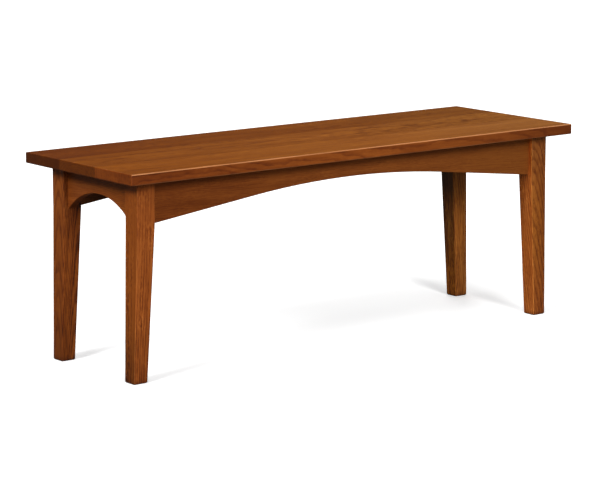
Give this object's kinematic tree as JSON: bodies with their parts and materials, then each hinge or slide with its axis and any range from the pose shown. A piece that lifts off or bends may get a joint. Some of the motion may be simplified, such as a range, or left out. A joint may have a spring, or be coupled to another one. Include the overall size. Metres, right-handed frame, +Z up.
{
  "type": "bench",
  "caption": "Backless oak bench with a plank seat, square tapered legs, and front, back and end aprons cut with low arches.",
  "frame": {"origin": "on the floor, under the middle of the seat", "axes": "+X along the bench, +Y from its front to its back, +Z up"},
  "size_m": [1.22, 0.4, 0.448],
  "materials": {
    "seat_oak": "satin, stained reddish brown",
    "leg_oak": "satin, stained reddish brown",
    "apron_oak": "satin, stained brown",
    "inner_wood": "plain sawn wood, lightly stained",
    "screw_steel": "zinc-plated steel"
  },
  "bodies": {
    "root": {"seat_board_front": "seat_oak", "seat_board_middle": "seat_oak", "seat_board_back": "seat_oak", "leg_front_left": "leg_oak", "leg_front_right": "leg_oak", "leg_back_left": "leg_oak", "leg_back_right": "leg_oak", "apron_front": "apron_oak", "apron_back": "apron_oak", "apron_left": "apron_oak", "apron_right": "apron_oak", "corner_block_front_left": "inner_wood", "corner_block_front_right": "inner_wood", "corner_block_back_left": "inner_wood", "corner_block_back_right": "inner_wood", "seat_button_front_left": "inner_wood", "seat_button_front_middle": "inner_wood", "seat_button_front_right": "inner_wood", "seat_button_back_left": "inner_wood", "seat_button_back_middle": "inner_wood", "seat_button_back_right": "inner_wood", "seat_button_left_end": "inner_wood", "seat_button_right_end": "inner_wood", "seat_button_screws": "screw_steel", "corner_block_screws": "screw_steel"}
  },
  "joints": []
}
